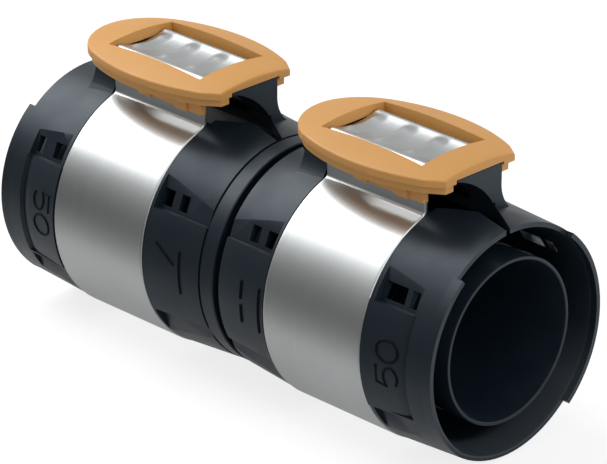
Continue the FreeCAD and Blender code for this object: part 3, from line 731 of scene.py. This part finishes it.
@dataclass
class PipeCarrier:
    """A slit moulding that holds the band and takes the pipe, with a hooked lug at each end of its slit.

    Lengths are in mm from the coupling's middle, angles in degrees from straight up.
    """

    end: End
    edge_radius: float = 0.28
    crease: float = 15.0
    band_side: float = 51.85
    shoulder: float = 29.4
    draft: float = 0.0536
    panel_end: float = 64.7
    panel_foot: float = 65.3
    panel_top: float = 63.0
    panel_sink: float = 2.2
    least_rise: float = 0.01
    hollow_start: float = 61.3
    hollow_depth: float = 0.45
    hollow_rows: int = 4
    pillar_side: float = 59.95
    pillar_reach: float = 0.45
    pillar_top: float = 50.0
    pillar_foot: float = 62.5
    pillar_growth: float = 2.2
    pad_bore: float = 27.3
    flare_start: float = 63.5
    mouth: float = 70.5
    flare_share: float = 0.9

    def spot(self, vert: bmesh.types.BMVert) -> Pair:
        """How far a corner is from the coupling's middle and from the pipe's axis, in mm."""
        return vert.co.x * self.end.value / MM, math.hypot(vert.co.y, vert.co.z) / MM

    def move(self, vert: bmesh.types.BMVert, radius: float, goal: float) -> None:
        """Brings a corner from one distance to another one from the pipe's axis."""
        vert.co.y *= goal / radius
        vert.co.z *= goal / radius

    def cut(self, work: bmesh.types.BMesh, along: float) -> None:
        """Cuts new edges right across the moulding, so that it can bend there."""
        bmesh.ops.bisect_plane(work, geom=work.verts[:] + work.edges[:] + work.faces[:], dist=CUT_MERGE,
                               plane_co=(self.end.value * along * MM, 0, 0), plane_no=(1, 0, 0))

    def open_mouth(self, work: bmesh.types.BMesh) -> None:
        """Flares the last stretch of the bore out to the inside of the mouth's pads."""
        self.cut(work, self.flare_start)
        for vert in work.verts:
            along, radius = self.spot(vert)
            if along > self.flare_start and radius < self.pad_bore:
                share = min(1.0, (along - self.flare_start) / (self.mouth - self.flare_start))
                gap = (self.pad_bore - radius) * (1 - self.flare_share * share)
                self.move(vert, radius, self.pad_bore - gap)

    def widen_pillar(self, work: bmesh.types.BMesh) -> None:
        """Lets the pillar between the outer windows at the left front start nearer to the band."""
        for vert in work.verts:
            along, _ = self.spot(vert)
            lean = math.degrees(math.atan2(-vert.co.y, vert.co.z))
            on_side = abs(along - self.pillar_side) < self.pillar_reach
            if on_side and self.pillar_top < lean < self.pillar_foot:
                vert.co.x -= self.end.value * self.pillar_growth * MM

    def sink_panels(self, work: bmesh.types.BMesh) -> None:
        """Lets both side panels fall towards the mouth in a hollow, so that its collar stands over them."""
        run = self.panel_end - self.hollow_start
        for row in range(self.hollow_rows):
            self.cut(work, self.hollow_start + row / self.hollow_rows * run)
        for vert in work.verts:
            along, radius = self.spot(vert)
            lean = math.degrees(math.atan2(abs(vert.co.y), vert.co.z))
            barrel = self.shoulder - (along - self.band_side) * self.draft
            on_panel = self.panel_top < lean < 180 - self.panel_top
            if on_panel and self.band_side < along < self.panel_foot and radius > barrel + self.least_rise:
                share = (along - self.band_side) / (self.panel_end - self.band_side)
                dip = min(1.0, max(0.0, (along - self.hollow_start) / run))
                lower = barrel + (radius - barrel) * (1 - self.panel_sink * share)
                self.move(vert, radius, lower - self.hollow_depth * dip ** 2)

    def reshape(self, work: bmesh.types.BMesh) -> None:
        """The changes that the moulding takes after its edges are rounded."""
        self.open_mouth(work)
        if self.end is End.LEFT:
            self.widen_pillar(work)
        self.sink_panels(work)

    def build(self, material: Material) -> None:
        """Rounds the moulding's edges, reshapes it and hands it over."""
        node = f"{self.end.word}_pipe_carrier"
        piece = softened_copy(node, f"{node}_moulding", material, self.edge_radius, self.crease, self.reshape)
        shade_round(piece.data)
        hand_over(piece, "carrier_plastic", node)


def oval(centre: Pair, radii: Pair, angles: Iterable[int]) -> list[Pair]:
    """Places round an oval at angles in degrees."""
    turns = [math.radians(angle) for angle in angles]
    return [(centre[0] + radii[0] * math.cos(turn), centre[1] + radii[1] * math.sin(turn)) for turn in turns]


# Strokes of the digits in a box one wide and one tall
FIVE = [(0.90, 1.0), (0.22, 1.0), (0.12, 0.52)] + oval((0.52, 0.33), (0.40, 0.33), range(120, -150, -18))
NOUGHT = oval((0.5, 0.5), (0.42, 0.5), range(0, 361, 15))


@dataclass(frozen=True)
class MarkLayout:
    """Where one end's marks are, in mm along the pipe and degrees round it."""

    number_foot: float
    number_start: float
    way_marks: tuple[tuple[Pair, Pair], ...]


MARK_LAYOUTS = {
    End.LEFT: MarkLayout(-59.8, 284.5, (((-16.4, 282), (-10.4, 274)), ((-8.8, 281.5), (-8.5, 260)))),
    End.RIGHT: MarkLayout(62.2, 258.3, (((12.4, 281), (12.4, 272)), ((12.5, 269), (12.5, 260)),
                                        ((18.7, 281), (18.7, 259)))),
}


@dataclass
class RaisedMarks:
    """Raised size numbers on the side panels and way marks on the barrels beside the flange, in mm."""

    panel_radius: float = 29.67
    panel_start: float = 51.85
    panel_slope: float = 0.114
    inner_radius: float = 29.42
    inner_start: float = 20.25
    inner_slope: float = 0.075
    line_half: float = 0.36
    line_steps: int = 10
    way_steps: int = 8
    digit_tall: float = 5.9
    digit_wide: float = 6.4
    digit_gap: float = 0.2
    crease: float = 50.0

    def number(self, end: End, layout: MarkLayout) -> list[list[Vector]]:
        """Strokes of the number fifty laid on one end's barrel in metres; it is turned with its carrier."""
        strokes = []
        for place, digit in enumerate((FIVE, NOUGHT)):
            line = []
            for across, tall in digit:
                arc = place * (self.digit_wide + self.digit_gap) + across * self.digit_wide
                angle = layout.number_start + end.value * math.degrees(arc / self.panel_radius)
                along = layout.number_foot - end.value * tall * self.digit_tall
                radius = self.panel_radius - self.panel_slope * (abs(along) - self.panel_start)
                line.append(polar(along, radius, angle))
            strokes.append(line)
        return strokes

    def way_mark(self, start: Pair, finish: Pair) -> list[Vector]:
        """A line on the barrel between two places given as (along, angle)."""
        line = []
        for step in range(self.way_steps + 1):
            share = step / self.way_steps
            along = start[0] + (finish[0] - start[0]) * share
            angle = start[1] + (finish[1] - start[1]) * share
            radius = self.inner_radius - self.inner_slope * (self.inner_start - abs(along))
            line.append(polar(along, radius, angle))
        return line

    def build(self, end: End, plan: GeometryPlan, material: Material) -> None:
        """Draws one end's marks and raises them.

        Args:
            end: which carrier they are on.
            plan: the raised line tree.
            material: the marks' finish.
        """
        layout = MARK_LAYOUTS[end]
        places: list[Vector] = []
        edges: list[tuple[int, int]] = []
        for stroke in self.number(end, layout) + [self.way_mark(*ends) for ends in layout.way_marks]:
            first = len(places)
            places += stroke
            edges += [(first + step, first + step + 1) for step in range(len(stroke) - 1)]
        mesh = bpy.data.meshes.new("mark_strokes")
        mesh.from_pydata(places, edges, [])
        piece = link_piece(f"{end.word}_raised_marks", mesh, material)
        plan.use(piece, self.crease, Half_Width=self.line_half * MM, Round_Steps=self.line_steps,
                 Finish=material)
        hand_over(piece, "carrier_plastic")


# Press bands


@dataclass
class PressBand:
    """A closed loop of sheet steel with an upright neck and a hollow crown with three beads, in mm."""

    end: End
    centre: float = 36.05
    length: float = 31.1
    radius: float = 29.6
    sheet: float = 1.2
    neck_half: float = 8.9
    crown_edge: float = 41.0
    crown_sag: float = 2.2
    crown_slack: float = 0.5
    neck_bend: float = 1.1
    crown_bend: float = 1.5
    bead_height: float = 0.95
    bead_half: float = 2.7
    bead_pitch: float = 9.75
    bead_shift: float = -2.7
    bead_reach: float = 6.9
    bead_run: float = 3.2
    edge_round: float = 0.38
    edge_turns: tuple[int, ...] = (0, 30, 60, 90)
    rows_across: int = 72
    neck_steps: int = 6
    shoulder_steps: int = 8
    crown_steps: int = 28
    ring_steps: int = 220
    crease: float = 50.0

    def arc(self, centre: Pair, radius: float, start: float, finish: float, steps: int,
            hollow: bool) -> list[tuple[Vector, Vector]]:
        """Places and outward directions along an arc seen along the pipe.

        Args:
            centre: (across, up) of the arc's centre in mm.
            radius: its radius.
            start: first angle from +Y towards +Z in degrees.
            finish: last angle.
            steps: number of steps.
            hollow: True where the band's outside faces the centre.

        Returns:
            Pairs of place and direction, as flat (across, up) vectors.
        """
        run = []
        for step in range(steps + 1):
            turn = math.radians(start + (finish - start) * step / steps)
            ray = Vector((math.cos(turn), math.sin(turn)))
            run.append((Vector(centre) + ray * radius, -ray if hollow else ray))
        return run

    def loop(self) -> list[tuple[Vector, Vector]]:
        """The outside of the band seen along the pipe, once round.

        Returns:
            Places in mm with their outward directions.
        """
        crown_radius = (self.neck_half ** 2 + self.crown_sag ** 2) / (2 * self.crown_sag)
        crown_centre = self.crown_edge - self.crown_sag + crown_radius
        neck_across = self.neck_half + self.neck_bend
        neck_up = math.sqrt((self.radius + self.neck_bend) ** 2 - neck_across ** 2)
        foot = math.degrees(math.atan2(neck_up, neck_across))
        edge_across = self.neck_half - self.crown_bend
        edge_up = crown_centre - math.sqrt((crown_radius + self.crown_bend) ** 2 - edge_across ** 2)
        lean = math.degrees(math.atan2(crown_centre - edge_up, -edge_across))

        right = self.arc((neck_across, neck_up), self.neck_bend, 180 + foot, 180, self.neck_steps, True)
        right += self.arc((edge_across, edge_up), self.crown_bend, 0, lean, self.shoulder_steps, False)
        crown = self.arc((0, crown_centre), crown_radius, lean - 180, -lean, self.crown_steps, True)
        left = [(Vector((-place.x, place.y)), Vector((-ray.x, ray.y))) for place, ray in reversed(right)]
        ring = self.arc((0, 0), self.radius, 180 - foot, 360 + foot, self.ring_steps, False)
        return right + crown[1:-1] + left + ring[1:-1]

    def section(self) -> list[Pair]:
        """The sheet's section with rounded edges, once round.

        Returns:
            Places along the pipe from the band's middle, with their height over its outside, in mm.
        """
        flat, corner = self.length / 2 - self.edge_round, self.edge_round
        rays = [math.radians(turn) for turn in self.edge_turns]
        low = corner - self.sheet
        edge = [(flat + corner * math.sin(ray), -corner + corner * math.cos(ray)) for ray in rays]
        edge += [(flat + corner * math.cos(ray), low - corner * math.sin(ray)) for ray in rays]
        steps = [2 * flat * row / self.rows_across for row in range(1, self.rows_across)]
        inside = [(flat - step, -self.sheet) for step in steps]
        outside = [(-flat + step, 0.0) for step in steps]
        return edge + inside + [(-along, depth) for along, depth in reversed(edge)] + outside

    def bead_rise(self, along: float, across: float) -> float:
        """How far a bead lifts the crown at a place, in mm."""
        rise = 0.0
        for step in (-1, 0, 1):
            middle = self.bead_shift + step * self.bead_pitch
            off = abs(along - middle) / self.bead_half
            if off < 1:
                rise = self.bead_height * (0.5 + 0.5 * math.cos(math.pi * off))
        side = min(1.0, max(0.0, (self.bead_reach - abs(across)) / self.bead_run))
        return rise * side * side * (3 - 2 * side)

    def build(self, material: Material) -> None:
        """Sweeps the sheet's section round the loop, presses the beads up and hands the band over."""
        shift = self.end.value * self.centre
        crown_foot = self.crown_edge - self.crown_sag - self.crown_slack
        loop, section = self.loop(), self.section()
        places = []
        for place, ray in loop:
            on_crown = place.y > crown_foot and abs(place.x) < self.bead_reach
            for along, depth in section:
                lift = self.bead_rise(along, place.x) if on_crown else 0.0
                spot = place + ray * (depth + lift)
                places.append(Vector((along + shift, spot.x, spot.y)) * MM)
        count = len(section)
        faces = []
        for row in range(len(loop)):
            here, after = row * count, (row + 1) % len(loop) * count
            for column in range(count):
                beside = (column + 1) % count
                faces.append((here + column, here + beside, after + beside, after + column))
        mesh = bpy.data.meshes.new("band_sheet")
        mesh.from_pydata(places, [], faces)
        face_outwards(mesh)
        piece = link_piece(f"{self.end.word}_press_band_sheet", mesh, material)
        smooth_mesh(mesh, self.crease)
        hand_over(piece, "band_steel", f"{self.end.word}_press_band")


# Press indicators


@dataclass
class PressIndicator:
    """The domed orange cover on a crown, with its window and skirts."""

    end: End
    edge_radius: float = 0.32

    def build(self, material: Material) -> None:
        """Rounds the cover's edges and hands it over."""
        node = f"{self.end.word}_press_indicator"
        hand_over(softened_copy(node, f"{node}_cover", material, self.edge_radius), "indicator_plastic", node)


# Floor, light and camera


@dataclass(frozen=True)
class Card:
    """A glowing card that only reflections see, in mm.

    Its rows are pairs of edge corners from the foot up, its stops pairs of height and brightness.
    """

    name: str
    rows: tuple[tuple[Triple, Triple], ...]
    stops: tuple[Pair, ...]


CARDS = (
    Card("side_card", (((-500, -60, -29.5), (150, -60, -29.5)), ((-500, -130, -10), (150, -130, -10)),
                       ((-500, -130, 119), (150, -130, 119))),
         ((-29.5, 0.52), (-25, 0.34), (-17.7, 0.21), (-10, 0.15), (23, 0.17), (48, 0.25), (77, 0.38),
          (119, 0.72))),
    Card("end_card", (((90, -20, -29.6), (90, 70, -29.6)), ((90, -20, 40), (90, 70, 40))),
         ((-29.6, 1.1), (40, 1.1))),
    Card("back_card", (((-900, 300, 60), (200, 300, 60)), ((-900, 300, 640), (200, 300, 640))),
         ((60, 0.60), (640, 0.60))),
)


@dataclass
class Studio:
    """A pale floor, a soft box above, a fill from the right, three glowing cards and the photo's camera."""

    distance: float = 917.514
    shift_right: float = 2.867
    shift_up: float = 4.309
    back: Triple = (0.6473, -0.6420, 0.4110)
    right: Triple = (0.7042, 0.7100, 0.0)
    focal_px: float = 3864.0
    sensor_mm: float = 36.0
    clip_m: Pair = (0.01, 50.0)
    box_direction: Triple = (-0.647, -0.114, 0.754)
    box_distance: float = 600.0
    box_side: float = 470.0
    box_radiance: float = 3.7
    fill_direction: Triple = (0.85, -0.05, 0.52)
    fill_distance: float = 800.0
    fill_side: float = 600.0
    fill_radiance: float = 1.8
    world_diffuse: float = 0.31
    floor_reach_m: float = 6.0
    floor_deep: Colour = (0.30, 0.30, 0.30)
    floor_pale: Colour = (0.32, 0.32, 0.32)
    floor_glow: float = 0.20
    floor_gloss: float = 0.35
    floor_white: float = 0.61

    def camera(self) -> None:
        """Sets the camera up as the photograph has it."""
        back = Vector(self.back).normalized()
        right = Vector(self.right).normalized()
        up = back.cross(right).normalized()
        right = up.cross(back).normalized()
        data = bpy.data.cameras.new("photo_camera")
        data.sensor_width = self.sensor_mm
        data.lens = self.focal_px / FRAME_WIDTH_PX * self.sensor_mm
        data.clip_start, data.clip_end = self.clip_m
        camera = bpy.data.objects.new("photo_camera", data)
        place = (right * self.shift_right + up * self.shift_up + back * self.distance) * MM
        turned = Matrix((right, up, back)).transposed().to_4x4()
        camera.matrix_world = Matrix.Translation(place) @ turned
        bpy.context.scene.collection.objects.link(camera)
        bpy.context.scene.camera = camera

    def soft_box(self, name: str, direction: Triple, distance: float, side: float, radiance: float) -> None:
        """Hangs a square soft box that looks at the origin.

        Args:
            name: name of the lamp.
            direction: from the object to the lamp.
            distance: how far, in mm.
            side: length of its sides in mm.
            radiance: brightness of its face.
        """
        data = bpy.data.lights.new(name, "AREA")
        data.shape = "SQUARE"
        data.size = side * MM
        data.energy = radiance * math.pi * data.size ** 2
        lamp = bpy.data.objects.new(name, data)
        place = Vector(direction).normalized() * distance * MM
        lamp.matrix_world = Matrix.Translation(place) @ (-place).to_track_quat("-Z", "Y").to_matrix().to_4x4()
        bpy.context.scene.collection.objects.link(lamp)

    def card(self, card: Card) -> None:
        """Stands a card beside the object, seen only in reflections."""
        mesh = bpy.data.meshes.new(card.name)
        faces = [(2 * row, 2 * row + 1, 2 * row + 3, 2 * row + 2) for row in range(len(card.rows) - 1)]
        mesh.from_pydata([Vector(corner) * MM for row in card.rows for corner in row], [], faces)
        recipe = Recipe(card.name)
        stand = link_piece(card.name, mesh, recipe.shade(
            Base_Color=(0.0, 0.0, 0.0), Roughness=1.0, Specular_IOR_Level=0.0,
            Emission_Color=(1.0, 1.0, 1.0), Emission_Strength=recipe.by_height(card.stops)))
        for kind in ("camera", "diffuse", "shadow", "transmission"):
            setattr(stand, f"visible_{kind}", False)

    def floor(self) -> None:
        """Lays the pale floor, white to the camera and still shaded by the object."""
        mesh = bpy.data.meshes.new("studio_floor")
        reach = self.floor_reach_m
        corners = [(across * reach, along * reach, FLOOR_HEIGHT)
                   for across, along in ((-1, -1), (1, -1), (1, 1), (-1, 1))]
        mesh.from_pydata(corners, [], [(0, 1, 2, 3)])
        recipe = Recipe("studio_floor")
        path = add_node(recipe.tree, "ShaderNodeLightPath").outputs
        glow = recipe.between(path["Is Glossy Ray"], self.floor_glow, self.floor_gloss, 0.0, 1.0)
        extra = recipe.between(path["Is Camera Ray"], 0.0, self.floor_white, 0.0, 1.0)
        link_piece("studio_floor", mesh, recipe.shade(
            Base_Color=recipe.blend(recipe.noise(FLOOR_TONES), self.floor_deep, self.floor_pale),
            Roughness=1.0, Specular_IOR_Level=0.0, Emission_Color=(1.0, 1.0, 1.0),
            Emission_Strength=recipe.total(glow, extra, 1.0)))

    def world(self) -> None:
        """Fills the sky: white to the camera and in reflections, plain for the light it gives."""
        world = bpy.data.worlds.new("studio_sky")
        bpy.context.scene.world = world
        world.use_nodes = True
        tree = world.node_tree
        tree.nodes.clear()
        path = add_node(tree, "ShaderNodeLightPath").outputs
        white = path["Is Camera Ray"]
        for ray in ("Is Glossy Ray", "Is Transmission Ray"):
            white = add_node(tree, "ShaderNodeMath", {0: white, 1: path[ray]}, operation="MAXIMUM").outputs[0]
        level = add_node(tree, "ShaderNodeMapRange",
                         {"Value": white, "To Min": self.world_diffuse, "To Max": 1.0}).outputs["Result"]
        sky = add_node(tree, "ShaderNodeBackground", {"Color": (1, 1, 1), "Strength": level})
        add_node(tree, "ShaderNodeOutputWorld", {"Surface": sky.outputs[0]})

    def build(self) -> None:
        """Sets up camera, floor, light and view."""
        bpy.context.scene.view_settings.view_transform = "Standard"
        self.camera()
        self.world()
        self.floor()
        self.soft_box("key_soft_box", self.box_direction, self.box_distance, self.box_side, self.box_radiance)
        self.soft_box("front_fill", self.fill_direction, self.fill_distance, self.fill_side,
                      self.fill_radiance)
        for card in CARDS:
            self.card(card)
        log.info("studio: floor, soft boxes, cards and camera stand")


def main() -> None:
    """Builds the coupling piece by piece and stands it in the studio."""
    Studio().build()
    palette = Palette()
    turning, rings, lines = turning_plan(), ring_plan(), raised_line_plan()
    FittingBody().build(turning, palette.body)
    SealRings().build(rings, palette.rubber)
    marks = RaisedMarks()
    for end in End:
        PipeCarrier(end).build(palette.carrier)
        marks.build(end, lines, palette.marks)
        PressBand(end).build(palette.steel)
        PressIndicator(end).build(palette.indicator)


if __name__ == "__main__":
    main()
